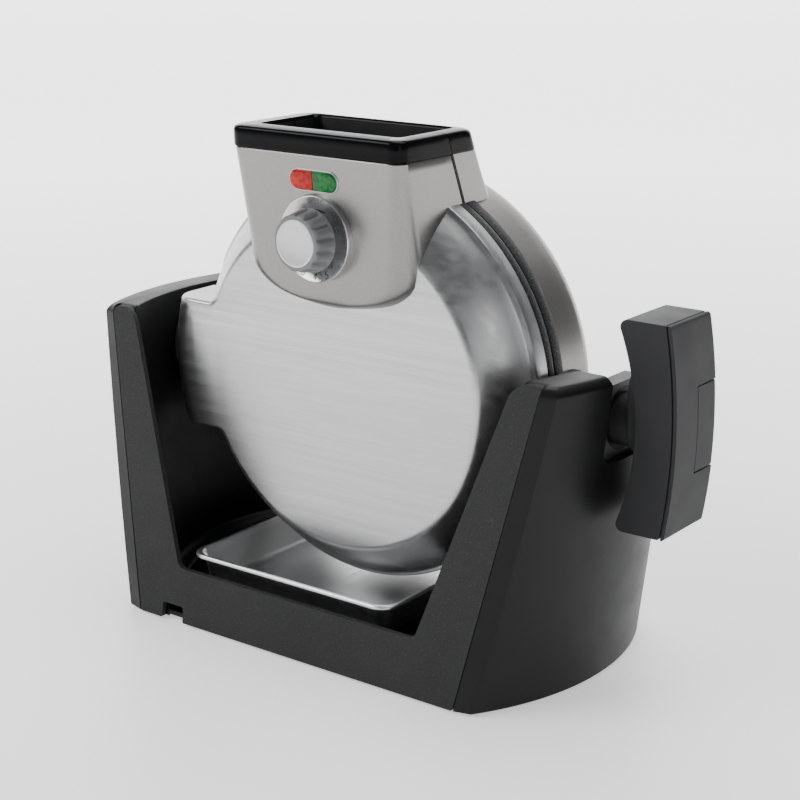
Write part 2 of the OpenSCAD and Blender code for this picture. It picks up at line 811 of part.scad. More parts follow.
base_shell();
front_panel();
well_liner();
base_cover();
rubber_feet();
base_screws();
left_bearing_block();
right_bearing_block();
left_bush();
right_bush();
cord_gland();
terminal_block();
drip_tray();
rear_shell();
rear_ring();
rear_plate();
rear_element();
rear_heat_shield();
rear_housing();
rear_bezel();
rear_screws();
hinge_yoke();
hinge_pin();
left_trunnion();
right_hub();
flip_shaft();
thermal_cutout();
handle_inner();
handle_outer();
handle_screws();
front_shell();
front_ring();
front_plate();
front_element();
front_heat_shield();
control_housing();
front_bezel();
dial_plate();
red_lens();
green_lens();
lens_bezel();
lamp_board();
thermostat();
hinge_leaf();
lid_screws();
knob();
knob_cap();
knob_shaft();
flip_trigger();
lid_latch();
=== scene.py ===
"""Looks of the flip waffle maker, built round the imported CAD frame.

Lengths in the outlines are millimetres.
"""
import json
import math

import bmesh
import bpy
from mathutils import Matrix, Vector


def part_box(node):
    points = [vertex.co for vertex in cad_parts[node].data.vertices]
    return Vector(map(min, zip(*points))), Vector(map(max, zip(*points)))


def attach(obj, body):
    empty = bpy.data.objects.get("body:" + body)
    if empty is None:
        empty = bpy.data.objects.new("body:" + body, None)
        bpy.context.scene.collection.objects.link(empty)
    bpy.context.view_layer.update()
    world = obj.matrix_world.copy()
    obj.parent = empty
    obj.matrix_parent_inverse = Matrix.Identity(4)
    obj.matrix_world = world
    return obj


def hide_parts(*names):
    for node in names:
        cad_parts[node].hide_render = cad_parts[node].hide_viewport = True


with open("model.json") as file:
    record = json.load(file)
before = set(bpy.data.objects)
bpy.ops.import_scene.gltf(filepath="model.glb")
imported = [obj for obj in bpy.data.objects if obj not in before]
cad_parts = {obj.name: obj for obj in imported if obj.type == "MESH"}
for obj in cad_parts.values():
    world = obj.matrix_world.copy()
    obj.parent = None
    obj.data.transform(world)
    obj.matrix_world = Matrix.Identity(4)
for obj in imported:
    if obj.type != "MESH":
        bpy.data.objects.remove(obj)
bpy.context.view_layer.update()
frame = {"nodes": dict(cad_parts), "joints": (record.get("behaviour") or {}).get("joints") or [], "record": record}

MM = 0.001


def box_mm(node):
    """Lowest and highest corner of a CAD node, in millimetres."""
    low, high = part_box(node)
    return low / MM, high / MM


# ---------------------------------------------------------------- sizes from the frame

hinge_pos = {j["name"]: [v / MM for v in j.get("pos_m", (0, 0, 0))] for j in frame["joints"]}
AXIS_Z = hinge_pos["flip"][2]
PIN_X, PIN_Y = hinge_pos["lid_hinge"][:2]
DIAL_Z = hinge_pos["browning_dial"][2]
lid_low = box_mm("front_shell")[0]
rear_high = box_mm("rear_shell")[1]
ring_low, ring_high = box_mm("front_ring")
box_high = box_mm("control_housing")[1]
tray_low, tray_high = box_mm("drip_tray")
shell_low, shell_high = box_mm("base_shell")
lamp_low, lamp_high = box_mm("lens_bezel")
bezel_low, bezel_high = box_mm("front_bezel")
FLANGE_R = ring_high.x
FACE_Y = lid_low.y
BACK_Y = rear_high.y
LUG_X = lid_low.x
# the hinge lug: half height, how far it sits below the axis, radius of its rolled left end
LUG_H = 38.0
LUG_DROP = 3.5
ROLL_R = 16.0
# the grip: outer face, thickness, half height, how far its middle sits above the axis
HANDLE_R, HANDLE_T, HANDLE_H, HANDLE_LIFT = 201.0, 24.0, 56.5, 1.5
HANDLE_FRONT, HANDLE_BACK = -19.5, 22.0
INNER_BOW, OUTER_BOW = 140.0, 300.0
BOX_W = box_high.x
TOP_Z = bezel_high.z
LAMP_Z = (lamp_low.z + lamp_high.z) / 2
BEZEL_Z = box_high.z
BASE_TOP = shell_high.z
# slopes of the base per millimetre of height: front and back, round sides, edges of the panels
RAKE, FLARE, PANEL_LEAN = 0.13, 0.11, 0.205
# the foot of the base: half depth, radius of the sides, half width of the panels
FRONT_Y, BASE_R, PANEL_W = 88.0, 150.5, 113.0
# the opening: height and half width at its sill, half width at the top
SILL_Z, SILL_W, MOUTH_W = 33.5, 85.0, 132.5
# the slot for the flip shaft in the right upright, and the low rear half of that upright
NOTCH_W, NOTCH_DROP, NOTCH_ROUND = 26.0, 19.5, 7
REAR_TOP = 150.0


# ---------------------------------------------------------------- mesh helpers

def new_object(name, bm, material, sharp=32):
    """Turns a bmesh in millimetres into a smooth-shaded object in metres."""
    bmesh.ops.recalc_face_normals(bm, faces=bm.faces)
    bmesh.ops.scale(bm, vec=(MM, MM, MM), verts=bm.verts)
    mesh = bpy.data.meshes.new(name)
    bm.to_mesh(mesh)
    bm.free()
    mesh.polygons.foreach_set("use_smooth", [True] * len(mesh.polygons))
    mesh.set_sharp_from_angle(angle=math.radians(sharp))
    mesh.materials.append(material)
    obj = bpy.data.objects.new(name, mesh)
    bpy.context.scene.collection.objects.link(obj)
    return obj


def loft(rings, closed=False, cap=True):
    """A skin through rings of equal length; closed joins the last ring to the first."""
    bm = bmesh.new()
    rows = [[bm.verts.new(p) for p in ring] for ring in rings]
    pairs = list(zip(rows, rows[1:])) + ([(rows[-1], rows[0])] if closed else [])
    for low, high in pairs:
        count = len(low)
        for i in range(count):
            j = (i + 1) % count
            bm.faces.new((low[i], low[j], high[j], high[i]))
    if cap and not closed:
        bm.faces.new(list(reversed(rows[0])))
        bm.faces.new(rows[-1])
    return bm


def lathe(profile, steps=160, start=0.0, sweep=360.0):
    """Turns a closed profile (radius, height) about Z."""
    full = abs(sweep - 360) < 1e-6
    count = steps if full else steps + 1
    rings = []
    for i in range(count):
        a = math.radians(start + sweep * i / steps)
        rings.append([(r * math.cos(a), r * math.sin(a), h) for r, h in profile])
    return loft(rings, closed=full)


def bevel(obj, width, segments=3, angle=30):
    """Rounds the sharp edges and evens out the shading."""
    mod = obj.modifiers.new("edge", "BEVEL")
    mod.width = width * MM
    mod.segments = segments
    mod.limit_method = "ANGLE"
    mod.angle_limit = math.radians(angle)
    mod.harden_normals = True
    return obj


def tidy_cad(node, width=0.4, segments=2):
    """Gives a carried-over CAD node rounded edges without touching its mesh."""
    obj = frame["nodes"][node]
    weld = obj.modifiers.new("weld", "WELD")
    weld.merge_threshold = 1e-6
    flat = obj.modifiers.new("flat", "DECIMATE")
    flat.decimate_type = "DISSOLVE"
    flat.angle_limit = math.radians(0.5)
    bevel(obj, width, segments, 40)
    shade = obj.modifiers.new("shade", "WEIGHTED_NORMAL")
    shade.keep_sharp = False
    shade.weight = 60
    return obj


def arc(cx, cy, r, a0, a1, steps):
    """Points on an arc, angles in degrees."""
    return [(cx + r * math.cos(math.radians(a0 + (a1 - a0) * i / steps)),
             cy + r * math.sin(math.radians(a0 + (a1 - a0) * i / steps))) for i in range(steps + 1)]


def smooth_outline(corners, steps=8):
    """Rounds a polygon: corners are (x, y, radius)."""
    out = []
    n = len(corners)
    for i in range(n):
        p = Vector(corners[i][:2])
        r = corners[i][2]
        a = (Vector(corners[i - 1][:2]) - p).normalized()
        b = (Vector(corners[(i + 1) % n][:2]) - p).normalized()
        if r < 0.01:
            out.append(tuple(p))
            continue
        half = a.angle(b) / 2
        reach = r / math.tan(half)
        centre = p + (a + b).normalized() * r / math.sin(half)
        v0 = p + a * reach - centre
        v1 = p + b * reach - centre
        turn = v0.angle_signed(v1)
        for k in range(steps + 1):
            v = v0.copy()
            v.rotate(Matrix.Rotation(-turn * k / steps, 2))
            out.append(tuple(centre + v))
    return out


def boolean_cut(obj, cutter):
    """Cuts one mesh out of another and throws the cutter away."""
    mod = obj.modifiers.new("cut", "BOOLEAN")
    mod.operation = "DIFFERENCE"
    mod.solver = "EXACT"
    mod.object = cutter
    bpy.context.view_layer.update()
    graph = bpy.context.evaluated_depsgraph_get()
    mesh = bpy.data.meshes.new_from_object(obj.evaluated_get(graph))
    obj.modifiers.clear()
    obj.data = mesh
    bpy.data.objects.remove(cutter)


def keep(obj, body, slot, *nodes):
    """Rides a piece on its body and hides the CAD nodes it stands for."""
    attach(obj, body)
    if nodes:
        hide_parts(*nodes)
    return obj


# ---------------------------------------------------------------- materials

class Finish:
    """A Principled material with a few procedural helpers."""

    def __init__(self, name, colour, metallic=0.0, roughness=0.4):
        self.mat = bpy.data.materials.new(name)
        self.mat.use_nodes = True
        self.nodes = self.mat.node_tree.nodes
        self.links = self.mat.node_tree.links
        self.shader = self.nodes["Principled BSDF"]
        self.set("Base Color", (*colour, 1))
        self.set("Metallic", metallic)
        self.set("Roughness", roughness)
        self.colour = colour
        self.height = None

    def set(self, socket, value):
        self.shader.inputs[socket].default_value = value

    def node(self, kind, **values):
        node = self.nodes.new(kind)
        for key, value in values.items():
            setattr(node, key, value)
        return node

    def noise(self, scale, detail=4.0, stretch=(1, 1, 1), rough=0.55):
        """Noise in the object's own metres."""
        coords = self.node("ShaderNodeTexCoord")
        mapping = self.node("ShaderNodeMapping")
        mapping.inputs["Scale"].default_value = stretch
        noise = self.node("ShaderNodeTexNoise")
        noise.inputs["Scale"].default_value = scale
        noise.inputs["Detail"].default_value = detail
        noise.inputs["Roughness"].default_value = rough
        self.links.new(coords.outputs["Object"], mapping.inputs["Vector"])
        self.links.new(mapping.outputs["Vector"], noise.inputs["Vector"])
        return noise.outputs["Fac"]

    def ramp(self, fac, low, high, value_low, value_high):
        """Maps fac between low and high onto two values."""
        node = self.node("ShaderNodeMapRange")
        limits = {"From Min": low, "From Max": high, "To Min": value_low, "To Max": value_high}
        for name, value in limits.items():
            node.inputs[name].default_value = value
        self.links.new(fac, node.inputs["Value"])
        return node.outputs["Result"]

    def vary_colour(self, fac, low, high, dark, light):
        """Blends the base colour between two tints of itself."""
        mix = self.node("ShaderNodeMix", data_type="RGBA")
        mix.inputs["A"].default_value = (*[c * dark for c in self.colour], 1)
        mix.inputs["B"].default_value = (*[min(1, c * light) for c in self.colour], 1)
        self.links.new(self.ramp(fac, low, high, 0, 1), mix.inputs["Factor"])
        self.links.new(mix.outputs["Result"], self.shader.inputs["Base Color"])
        return self

    def vary_roughness(self, fac, low, high, smooth, rough):
        self.links.new(self.ramp(fac, low, high, smooth, rough), self.shader.inputs["Roughness"])
        return self

    def bump(self, fac, strength, distance):
        node = self.node("ShaderNodeBump")
        node.inputs["Strength"].default_value = strength
        node.inputs["Distance"].default_value = distance * MM
        self.links.new(fac, node.inputs["Height"])
        if self.height:
            self.links.new(self.height, node.inputs["Normal"])
        self.height = node.outputs["Normal"]
        self.links.new(self.height, self.shader.inputs["Normal"])
        return self


def plastic(name, colour, roughness, grain, depth, speckle=0.0, gloss=0.5):
    """Moulded plastic: fine spark-eroded grain, faint blotches, optional mineral speckle."""
    f = Finish(name, colour, roughness=roughness)
    f.set("Specular IOR Level", gloss)
    fine = f.noise(grain, 3.0)
    blotch = f.noise(45.0, 3.0)
    f.bump(fine, 0.6, depth)
    f.vary_roughness(blotch, 0.3, 0.7, roughness * 0.9, min(1, roughness * 1.12))
    if speckle:
        dots = f.noise(grain * 0.75, 2.0, rough=0.7)
        f.vary_colour(dots, 0.56, 0.72, 1.0, 1 + speckle)
    else:
        f.vary_colour(blotch, 0.3, 0.7, 0.92, 1.08)
    return f.mat


def brushed(name, colour, roughness, along, streak=0.12, depth=0.004):
    """Brushed metal: long fine scratches along one axis, over soft cloudy variation."""
    stretch = {"x": (0.02, 1, 1), "y": (1, 0.02, 1), "z": (1, 1, 0.02)}[along]
    f = Finish(name, colour, metallic=1.0, roughness=roughness)
    lines = f.noise(1500.0, 3.0, stretch)
    wide = f.noise(260.0, 2.0, stretch)
    cloud = f.noise(14.0, 2.0)
    f.vary_colour(lines, 0.3, 0.7, 1 - streak, 1 + streak * 0.5)
    f.vary_roughness(wide, 0.3, 0.7, roughness * 0.86, roughness * 1.16)
    f.bump(lines, 0.5, depth)
    f.bump(cloud, 0.15, 0.02)
    return f.mat


def metallic_paint(name, colour, roughness):
    """Satin metallic paint: tiny flakes under a soft clear coat."""
    f = Finish(name, colour, metallic=0.92, roughness=roughness)
    f.set("Coat Weight", 0.1)
    f.set("Coat Roughness", 0.35)
    flakes = f.noise(2600.0, 1.0)
    f.vary_colour(flakes, 0.3, 0.7, 0.86, 1.12)
    f.bump(f.noise(1400.0, 2.0), 0.3, 0.006)
    return f.mat


def polished(name, colour, roughness):
    """Polished or turned metal with a breath of haze."""
    f = Finish(name, colour, metallic=1.0, roughness=roughness)
    haze = f.noise(90.0, 4.0)
    f.vary_roughness(haze, 0.3, 0.7, roughness * 0.7, roughness * 1.4)
    f.vary_colour(haze, 0.2, 0.8, 0.94, 1.04)
    return f.mat


def clear_plastic(name, colour):
    """Ribbed lamp lens: deep colour, gloss coat, faint prisms behind."""
    f = Finish(name, colour, roughness=0.22)
    f.set("Specular IOR Level", 0.2)
    f.set("Coat Weight", 0.06)
    f.set("Coat Roughness", 0.05)
    f.set("Emission Strength", 0.25)
    f.set("Emission Color", (*colour, 1))
    prisms = f.noise(420.0, 1.0)
    f.vary_colour(prisms, 0.35, 0.65, 0.55, 1.5)
    f.bump(prisms, 0.5, 0.12)
    return f.mat


SATIN_BLACK = plastic("satin_black", (0.005, 0.005, 0.0052), 0.4, 1600, 0.012, gloss=0.2)
SPECKLED = plastic("speckled_black", (0.025, 0.025, 0.0255), 0.6, 1500, 0.05, speckle=0.8, gloss=0.18)
LINER = plastic("dark_liner", (0.006, 0.006, 0.0065), 0.5, 1400, 0.03, gloss=0.2)
HANDLE = plastic("handle_black", (0.024, 0.024, 0.0255), 0.46, 1700, 0.014, gloss=0.14)
RING = plastic("ring_black", (0.014, 0.014, 0.015), 0.5, 1300, 0.08, speckle=7.0, gloss=0.3)
GLOSS = plastic("gloss_black", (0.003, 0.003, 0.0035), 0.15, 700, 0.002, gloss=0.07)
RECESS = plastic("recess_black", (0.008, 0.008, 0.0085), 0.6, 1100, 0.12, speckle=1.2, gloss=0.2)
STEEL = brushed("brushed_steel", (0.50, 0.50, 0.505), 0.33, "x", streak=0.08, depth=0.002)
SILVER = metallic_paint("box_silver", (0.235, 0.228, 0.217), 0.3)
TRAY = brushed("tray_aluminium", (0.72, 0.725, 0.73), 0.34, "y", streak=0.02, depth=0.001)
PLAIN_STEEL = polished("bare_steel", (0.55, 0.55, 0.56), 0.3)
CHROME = polished("chrome_trim", (0.78, 0.78, 0.79), 0.1)
CAST = plastic("zinc_cast", (0.04, 0.04, 0.042), 0.5, 700, 0.1)
COATED = plastic("cast_plate", (0.018, 0.018, 0.018), 0.33, 900, 0.04, speckle=0.8)
DIAL = polished("dial_face", (0.66, 0.66, 0.67), 0.3)
KNOB_GREY = plastic("knob_grey", (0.16, 0.162, 0.168), 0.42, 1500, 0.01, gloss=0.4)
KNOB_SILVER = brushed("knob_silver", (0.60, 0.60, 0.61), 0.5, "x", streak=0.05)
LENS_RED = clear_plastic("lens_red", (0.30, 0.006, 0.002))
LENS_GREEN = clear_plastic("lens_green", (0.001, 0.09, 0.014))
CERAMIC = plastic("ceramic", (0.72, 0.70, 0.62), 0.4, 800, 0.02)
BOARD = plastic("board_green", (0.02, 0.16, 0.06), 0.4, 900, 0.02)
RUBBER = plastic("rubber", (0.02, 0.02, 0.02), 0.75, 1200, 0.04)

SLOT_MATERIALS = {
    "satin_black": SATIN_BLACK, "speckled_black": SPECKLED, "dark_liner": LINER, "handle_black": HANDLE,
    "ring_black": RING, "gloss_black": GLOSS, "brushed_steel": STEEL, "box_silver": SILVER,
    "cast_plate": COATED, "tray_aluminium": TRAY, "bare_steel": PLAIN_STEEL, "zinc_cast": CAST,
    "bush_nylon": LINER, "chrome_trim": CHROME, "knob_grey": KNOB_GREY, "knob_silver": KNOB_SILVER,
    "lens_red": LENS_RED, "lens_green": LENS_GREEN, "ceramic": CERAMIC, "board_green": BOARD,
    "rubber": RUBBER,
}


# ---------------------------------------------------------------- the steel shells

def head_outline(r, h, left, fillet=8.0, corner=2.5):
    """Outline about the flip axis, seen from the front: a circle with the hinge lug on its left."""

    def lug_edge(high):
        cx = -math.sqrt((r + fillet) ** 2 - (high + fillet) ** 2)
        touch = math.degrees(math.atan2(high + fillet, cx))
        edge = arc(cx, high + fillet, fillet, touch - 180, -90, 8)[1:]
        edge += [(cx + (left + corner - cx) * k / 6, high) for k in range(1, 6)]
        edge += arc(left + corner, high - corner, corner, 90, 180, 5)
        return touch, edge

    touch_high, upper = lug_edge(h - LUG_DROP)
    touch_low, lower = lug_edge(h + LUG_DROP)
    top, bottom = h - LUG_DROP - corner, corner - h - LUG_DROP
    side = [(left, top + (bottom - top) * k / 12) for k in range(1, 12)]
    circle = arc(0, 0, r, -touch_low, touch_high, 220)
    outline = circle + upper + side + [(x, -z) for x, z in reversed(lower)]
    return [bulge(x, z, left) for x, z in outline]


def bulge(x, z, left):
    """Bends the lug's left end into an arc about the flip axis."""
    start = -104.0
    if x >= start:
        return x, z
    reach = -LUG_X
    return x + (start - x) / (start - left) * (reach - math.sqrt(reach ** 2 - z ** 2)), z


def roll_left(y, centre_y, front):
    """Left end of the lug at depth y: a quarter round on its outer corner."""
    past = (centre_y - y) if front else (y - centre_y)
    if past <= 0:
        return LUG_X
    return PIN_X - math.sqrt(max(0.0, ROLL_R ** 2 - past ** 2))


def shell_rings(levels, centre_y, front, thick):
    """Rings for a shell: the outside from its rim to the flat face, then the inside back to the rim."""
    outside = []
    for y, r, h in levels:
        outline = head_outline(r, h, roll_left(y, centre_y, front))
        outside.append([(x, y, AXIS_Z + z) for x, z in outline])
    inward = 1 if front else -1
    inside = []
    for y, r, h in reversed(levels):
        deep = y + inward * thick if abs(y - levels[-1][0]) < 6 else y
        left = roll_left(y, centre_y, front) + thick
        outline = head_outline(r - thick, h - thick, left)
        inside.append([(x, deep, AXIS_Z + z) for x, z in outline])
    return outside, inside


def shell_mesh(levels, centre_y, front, thick=1.5):
    """A pressed shell: outer and inner skins joined at the rim, with flat faces inside and out."""
    outside, inside = shell_rings(levels, centre_y, front, thick)
    bm = bmesh.new()
    rows = [[bm.verts.new(p) for p in ring] for ring in outside]
    inner = [[bm.verts.new(p) for p in ring] for ring in inside]
    count = len(rows[0])

    def skin(pair_rows):
        for low, high in zip(pair_rows, pair_rows[1:]):
            for i in range(count):
                j = (i + 1) % count
                bm.faces.new((low[i], low[j], high[j], high[i]))

    skin(rows)
    skin(inner)
    skin([rows[0], inner[-1]])
    bm.faces.new(rows[-1])
    bm.faces.new(inner[0])
    return bm


def lid_levels():
    """(y, circle radius, lug half height) from the rim to the lid's face."""
    rim_y = ring_low.y - 0.25
    step_r = FLANGE_R - 2.4
    side = [(rim_y, FLANGE_R - 0.3, LUG_H - 0.2), (rim_y - 0.4, FLANGE_R, LUG_H), (-11.0, FLANGE_R, LUG_H),
            (-15.9, FLANGE_R, LUG_H), (-16.7, FLANGE_R - 0.2, LUG_H), (-17.3, FLANGE_R - 0.8, LUG_H),
            (-17.7, FLANGE_R - 1.6, LUG_H), (-18.2, step_r, LUG_H), (-19.0, step_r - 0.6, LUG_H)]
    cone_r, cone_y = 97.2, -40.6
    start_r, start_y = step_r - 1.3, -19.9
    for k in range(9):
        t = k / 8
        belly = 1.1 * math.sin(math.pi * t)
        side.append((start_y + (cone_y - start_y) * t, start_r + (cone_r - start_r) * t + belly, LUG_H))
    edge = [(-41.6, 96.1, LUG_H - 0.2), (-42.3, 95.0, LUG_H - 0.6), (-42.8, 93.8, LUG_H - 1.3),
            (FACE_Y, 92.5, LUG_H - 2.2)]
    return side + edge


def rear_levels():
    """(y, circle radius, lug half height) from the rim to the back."""
    rim_y = box_mm("rear_ring")[1].y + 0.3
    r = FLANGE_R - 1
    side = [(rim_y, r - 0.4, LUG_H - 0.3), (rim_y + 0.4, r, LUG_H)]
    side += [(y, r, LUG_H) for y in (16.0, 24.0, 31.0)]
    for a in range(10, 90, 10):
        s, c = math.sin(math.radians(a)), math.cos(math.radians(a))
        side.append((31 + 13.6 * s, r - 14 + 14 * c, LUG_H - 2.5 * (1 - c)))
    side.append((BACK_Y, r - 15.2, LUG_H - 3))
    return side


def open_lug_side(bm):
    """Opens the lid lug's left side behind the hinge pin, so that the yoke can pass."""
    limit = -PIN_X + 12

    def behind_pin(middle):
        level = abs(middle.z - AXIS_Z + LUG_DROP) < LUG_H - 3
        return -middle.x > limit and middle.y > PIN_Y + 0.5 and level

    doomed = [f for f in bm.faces if behind_pin(f.calc_center_median())]
    bmesh.ops.delete(bm, geom=doomed, context="FACES")
    rim = [e for e in bm.edges if len(e.link_faces) == 1]
    if rim:
        bmesh.ops.bridge_loops(bm, edges=rim)


def lid_shell():
    """The lid's steel shell, with its lug open for the hinge yoke."""
    bm = shell_mesh(lid_levels(), PIN_Y, True)
    open_lug_side(bm)
    obj = new_object("lid_shell", bm, STEEL, 28)
    return keep(obj, "lid", "brushed_steel", "front_shell")


def rear_cover():
    """The rear shell and the rim that closes its lug."""
    obj = new_object("rear_cover", shell_mesh(rear_levels(), BACK_Y - ROLL_R, False), SILVER, 28)
    keep(obj, "head", "box_silver", "rear_shell")
    rim_y = box_mm("rear_ring")[1].y + 0.2
    corners = [(-106, -LUG_H, 0), (-106, LUG_H, 0), (*bulge(LUG_X + 0.3, LUG_H, LUG_X), 2)]
    corners += [(*bulge(LUG_X + 0.3, z, LUG_X), 0) for z in range(30, -31, -6)]
    corners += [(*bulge(LUG_X + 0.3, -LUG_H, LUG_X), 2)]
    outline = smooth_outline(corners, 4)
    rings = [[(x, y, AXIS_Z - LUG_DROP + z) for x, z in outline] for y in (0.3, rim_y)]
    rim = new_object("rear_lug_rim", loft(rings), SILVER)
    bevel(rim, 0.4)
    keep(rim, "head", "box_silver")


def dark_ring(name, node, body):
    """The speckled ring beside the parting plane, with rounded edges; it stops at the lug."""
    low, high = box_mm(node)
    r, inner = FLANGE_R, FLANGE_R - 14.4
    y0, y1 = low.y, high.y
    profile = [(inner, y0), (r - 0.9, y0), (r - 0.25, y0 + 0.25), (r, y0 + 0.9),
               (r, y1 - 0.9), (r - 0.25, y1 - 0.25), (r - 0.9, y1), (inner, y1)]
    up = 180 - math.degrees(math.asin((LUG_H - LUG_DROP - 2.2) / r))
    down = 180 - math.degrees(math.asin((LUG_H + LUG_DROP - 2.2) / r))
    bm = lathe([(a, -b) for a, b in profile], 240, -down, up + down)
    bmesh.ops.rotate(bm, matrix=Matrix.Rotation(math.radians(90), 3, "X"), verts=bm.verts)
    bmesh.ops.translate(bm, vec=(0, 0, AXIS_Z), verts=bm.verts)
    keep(new_object(name, bm, RING, 40), body, "ring_black", node)


# ---------------------------------------------------------------- the control box

SPLIT_Z, SPLIT_LEAN = 246.0, 19 / 45
BOX_Z = 200.0
PANEL_Y0, PANEL_Y1 = 50.0, 60.0
TILT = math.atan((PANEL_Y1 - PANEL_Y0) / (BEZEL_Z - BOX_Z))


def split_y(z):
    """The parting line of the box at height z."""
    return -max(0.0, z - SPLIT_Z) * SPLIT_LEAN


def panel_y(z):
    """Depth of the leaning control panel at height z."""
    return -PANEL_Y0 - (z - BOX_Z) * math.tan(TILT)


def u_section(w, y_edge, y_split, corner, gap=0.25, steps=8):
    """Half of a rounded rectangle seen from above, open at the parting line. y_edge is the far face."""
    s = 1 if y_edge > y_split else -1
    pts = [(-w, y_split + s * gap)]
    pts += [(-w, y_split + (y_edge - y_split) * k / 4 * 0.7) for k in range(1, 4)]
    pts += [(x, y_edge + s * y) for x, y in arc(-w + corner, -corner, corner, 180, 90, steps)]
    pts += [((w - corner) * k / 5, y_edge) for k in range(-4, 5)]
    pts += [(x, y_edge + s * y) for x, y in arc(w - corner, -corner, corner, 90, 0, steps)]
    pts += [(w, y_split + (y_edge - y_split) * k / 4 * 0.7) for k in range(3, 0, -1)]
    pts += [(w, y_split + s * gap)]
    return pts


def box_half_width(up):
    """Half width of the box at a height above its lowest point: a bellied lower edge with round corners."""
    steps = [(0, 9), (0.25, 16), (0.6, 21), (1.2, 26), (2, 30.5), (3.2, 36), (4.6, 41),
             (6.4, 45.6), (8.6, 49.6), (11.2, 53), (14.4, 55.8), (18.4, 57.5), (23, 58)]
    for (u0, w0), (u1, w1) in zip(steps, steps[1:]):
        if up <= u1:
            return w0 + (w1 - w0) * (up - u0) / (u1 - u0)
    return BOX_W


def front_box():
    """The silver housing: leaning face, soft edges, and a lower edge that rolls back to the lid."""
    rings = []
    base = 193.4
    ups = [0, 0.25, 0.6, 1.2, 2, 3.2, 4.6, 6.4, 8.6, 11.2, 14.4, 18.4, 23, 29, 38]
    ups += [SPLIT_Z - base, 62, 72, 80]
    heights = [base + up for up in ups] + [BEZEL_Z - 0.5, BEZEL_Z]
    roll = 10.5
    for z in heights:
        up = z - base
        w = box_half_width(up)
        y = panel_y(z)
        if up < roll:
            y = panel_y(base + roll) + 9.0 * (1 - math.sqrt(1 - ((roll - up) / roll) ** 2))
        inset = 0.4 if z == BEZEL_Z else 0.0
        grown = 8.0 + 11.0 * (BEZEL_Z - z) / (BEZEL_Z - base) + max(0, 18 - up) * 0.3
        section = u_section(w - inset, y + inset, split_y(z), min(grown, w - 1), 1.5)
        rings.append([(x, depth, z) for x, depth in section])
    bm = loft(rings)
    obj = new_object("control_housing_shell", bm, SILVER, 40)
    return keep(obj, "lid", "box_silver", "control_housing")


def rear_box():
    """The head's half of the box, and the two gaskets along the parting line."""
    levels = [(236, 32), (240, 31), (244, 30), (247, 28.6), (250, 26.6), (258, 22.4), (268, 17.2),
              (BEZEL_Z - 0.5, 12.2), (BEZEL_Z, 11.8)]
    rings = []
    for z, back in levels:
        rings.append([(x, y, z) for x, y in u_section(BOX_W - 0.2, back, split_y(z), 6.0, 1.5)])
    obj = new_object("rear_housing_shell", loft(rings), SILVER, 40)
    keep(obj, "head", "box_silver", "rear_housing")
    for name, body, y0, y1 in (("lid_gasket", "lid", -1.6, -0.2), ("head_gasket", "head", 0.2, 1.6)):
        w = BOX_W - 0.45
        strip = ((-w, y0), (w, y0), (w, y1), (-w, y1))
        rings = [[(x, split_y(z) + y, z) for x, y in strip] for z in (238, SPLIT_Z, BEZEL_Z)]
        gasket = new_object(name, loft(rings), RING, 30)
        bevel(gasket, 0.4, 2)
        keep(gasket, body, "ring_black")


def bezel_half(name, node, body, front):
    """Half of the gloss black bezel and of the deep textured grip recess inside it."""
    z0 = BEZEL_Z + 0.12
    grip_w, grip_y, floor = 47.0, (-46.0 if front else 2.0), bezel_low.z + 1.5
    s = -1 if front else 1

    def far(z):
        t = (z - z0) / (TOP_Z - z0)
        return (-PANEL_Y1 - 0.6 - 0.4 * t) if front else (12.4 - 5.4 * t)

    outer, inner = [], []
    edge = ((z0, 0.7), (z0 + 0.5, 0.2), (z0 + 1.2, 0), (TOP_Z - 2.2, 0), (TOP_Z - 1.2, 0.3),
            (TOP_Z - 0.5, 0.9), (TOP_Z, 2.0))
    for z, inset in edge:
        section = u_section(BOX_W + 0.6 - inset, far(z) - s * inset, split_y(z), 8.0)
        outer.append([(x, y, z) for x, y in section])
    recess = ((TOP_Z, 1.6), (TOP_Z - 0.7, 0.6), (TOP_Z - 1.8, 0), (floor + 2, 0), (floor, -1.2))
    for z, grow in recess:
        section = u_section(grip_w + grow, grip_y + s * grow, split_y(z), 4.0)
        inner.append([(x, y, z) for x, y in section])
    bm = bmesh.new()
    rows = [[bm.verts.new(p) for p in ring] for ring in outer + inner]
    count = len(rows[0])
    for index, (low, high) in enumerate(zip(rows, rows[1:])):
        for i in range(count - 1):
            face = bm.faces.new((low[i], low[i + 1], high[i + 1], high[i]))
            face.material_index = 1 if index > len(outer) + 1 else 0
    face = bm.faces.new(rows[-1])
    face.material_index = 1
    ends = [[row[0] for row in rows], [row[-1] for row in rows]]
    under = list(reversed(rows[0]))
    for end in ends:
        bm.faces.new(end)
    bm.faces.new(under)
    bmesh.ops.triangulate(bm, faces=[f for f in bm.faces if len(f.verts) > 4 and f.material_index == 0])
    obj = new_object(name, bm, GLOSS, 30)
    obj.data.materials.append(RECESS)
    return keep(obj, body, "gloss_black", node)


# ---------------------------------------------------------------- dial and lamps

def on_panel(bm, x, z):
    """Places a mesh modelled face-up at the origin onto the leaning panel."""
    bmesh.ops.rotate(bm, matrix=Matrix.Rotation(math.radians(90) + TILT, 3, "X"), verts=bm.verts)
    bmesh.ops.translate(bm, vec=(x, panel_y(z), z), verts=bm.verts)


def on_dial(bm):
    """Places a mesh modelled face-up at the origin onto the upright dial."""
    bmesh.ops.rotate(bm, matrix=Matrix.Rotation(math.radians(90), 3, "X"), verts=bm.verts)
    bmesh.ops.translate(bm, vec=(0, panel_y(DIAL_Z), DIAL_Z), verts=bm.verts)


def dish_height(radius):
    """Height of the dial's sloping face at a radius."""
    return 1.8 + max(0.0, radius - 15.5) * 0.46


